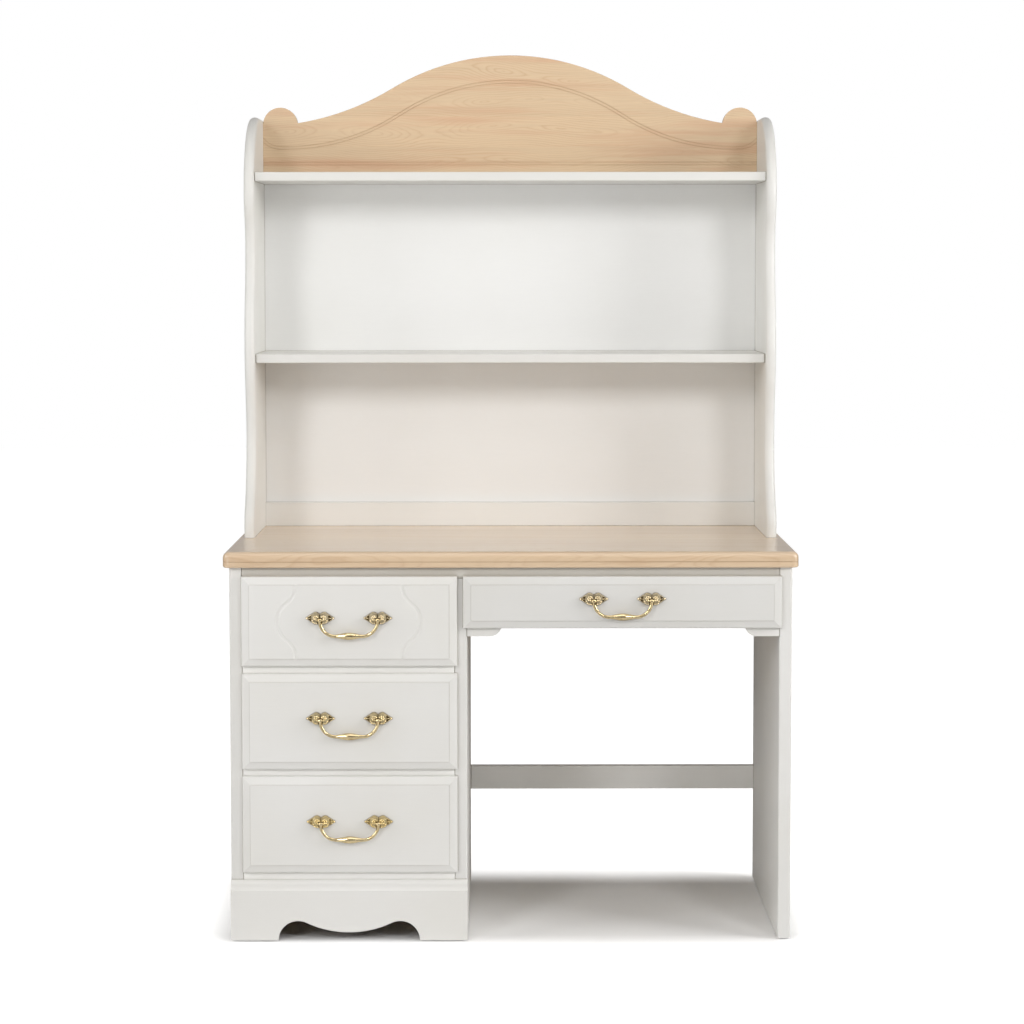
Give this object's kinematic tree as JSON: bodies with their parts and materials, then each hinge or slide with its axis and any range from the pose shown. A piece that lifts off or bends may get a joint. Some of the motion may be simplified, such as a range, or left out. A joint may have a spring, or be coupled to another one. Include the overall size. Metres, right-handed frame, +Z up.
{
  "type": "student desk with hutch",
  "caption": "Pedestal desk with drawers on slides, bail pulls, an open kneehole and a shelved hutch under an arched wooden crest, white with a natural wood top.",
  "frame": {"origin": "on the floor, under the middle of the whole desk's width and depth", "axes": "+X to the sitter's right, +Y from the sitter towards the wall, +Z up"},
  "size_m": [1.118, 0.581, 1.762],
  "materials": {
    "natural_wood": "clear satin lacquer",
    "white_lacquer": "satin white lacquer",
    "back_board": "satin white lacquer",
    "bare_hardwood": "planed, bare",
    "drawer_wood": "sealed",
    "cast_brass": "polished, antiqued in the hollows",
    "screw_steel": "zinc plated",
    "glide_nylon": "moulded"
  },
  "bodies": {
    "carcass": {"desktop": "natural_wood", "arch_panel": "natural_wood", "left_side_panel": "white_lacquer", "partition_panel": "white_lacquer", "right_end_panel": "white_lacquer", "top_rail": "white_lacquer", "upper_drawer_rail": "white_lacquer", "lower_drawer_rail": "white_lacquer", "bottom_rail": "white_lacquer", "kneehole_back_rail": "white_lacquer", "back_stretcher": "white_lacquer", "kneehole_rail": "white_lacquer", "plinth": "white_lacquer", "hutch_left_side": "white_lacquer", "hutch_right_side": "white_lacquer", "hutch_middle_shelf": "white_lacquer", "hutch_top_shelf": "white_lacquer", "hutch_bottom_rail": "white_lacquer", "pedestal_back_panel": "back_board", "hutch_back_panel": "back_board", "drawer_runners": "bare_hardwood", "glue_blocks": "bare_hardwood", "hutch_dowels": "bare_hardwood", "glides": "glide_nylon"},
    "top_drawer": {"top_drawer_front": "white_lacquer", "top_drawer_left_side": "drawer_wood", "top_drawer_right_side": "drawer_wood", "top_drawer_back": "drawer_wood", "top_drawer_bottom": "drawer_wood", "top_drawer_rosettes": "cast_brass", "top_drawer_bail_pins": "cast_brass", "top_drawer_pull_screws": "screw_steel"},
    "top_bail": {"top_drawer_bail": "cast_brass"},
    "middle_drawer": {"middle_drawer_front": "white_lacquer", "middle_drawer_left_side": "drawer_wood", "middle_drawer_right_side": "drawer_wood", "middle_drawer_back": "drawer_wood", "middle_drawer_bottom": "drawer_wood", "middle_drawer_rosettes": "cast_brass", "middle_drawer_bail_pins": "cast_brass", "middle_drawer_pull_screws": "screw_steel"},
    "middle_bail": {"middle_drawer_bail": "cast_brass"},
    "bottom_drawer": {"bottom_drawer_front": "white_lacquer", "bottom_drawer_left_side": "drawer_wood", "bottom_drawer_right_side": "drawer_wood", "bottom_drawer_back": "drawer_wood", "bottom_drawer_bottom": "drawer_wood", "bottom_drawer_rosettes": "cast_brass", "bottom_drawer_bail_pins": "cast_brass", "bottom_drawer_pull_screws": "screw_steel"},
    "bottom_bail": {"bottom_drawer_bail": "cast_brass"},
    "pencil_drawer": {"pencil_drawer_front": "white_lacquer", "pencil_drawer_left_side": "drawer_wood", "pencil_drawer_right_side": "drawer_wood", "pencil_drawer_back": "drawer_wood", "pencil_drawer_bottom": "drawer_wood", "pencil_drawer_rosettes": "cast_brass", "pencil_drawer_bail_pins": "cast_brass", "pencil_drawer_pull_screws": "screw_steel"},
    "pencil_bail": {"pencil_drawer_bail": "cast_brass"}
  },
  "joints": [
    {"name": "top_drawer_slide", "type": "slide", "parent": "carcass", "child": "top_drawer", "axis": [0, -1, 0], "range_m": [0, 0.35]},
    {"name": "top_bail_hinge", "type": "hinge", "parent": "top_drawer", "child": "top_bail", "pos_m": [-0.31375, -0.2835, 0.635], "axis": [-1, 0, 0], "range_deg": [-6, 90]},
    {"name": "middle_drawer_slide", "type": "slide", "parent": "carcass", "child": "middle_drawer", "axis": [0, -1, 0], "range_m": [0, 0.35]},
    {"name": "middle_bail_hinge", "type": "hinge", "parent": "middle_drawer", "child": "middle_bail", "pos_m": [-0.31375, -0.2835, 0.4389], "axis": [-1, 0, 0], "range_deg": [-6, 90]},
    {"name": "bottom_drawer_slide", "type": "slide", "parent": "carcass", "child": "bottom_drawer", "axis": [0, -1, 0], "range_m": [0, 0.35]},
    {"name": "bottom_bail_hinge", "type": "hinge", "parent": "bottom_drawer", "child": "bottom_bail", "pos_m": [-0.31375, -0.2835, 0.23615], "axis": [-1, 0, 0], "range_deg": [-6, 90]},
    {"name": "pencil_drawer_slide", "type": "slide", "parent": "carcass", "child": "pencil_drawer", "axis": [0, -1, 0], "range_m": [0, 0.35]},
    {"name": "pencil_bail_hinge", "type": "hinge", "parent": "pencil_drawer", "child": "pencil_bail", "pos_m": [0.21675, -0.2835, 0.672], "axis": [-1, 0, 0], "range_deg": [-6, 90]}
  ]
}
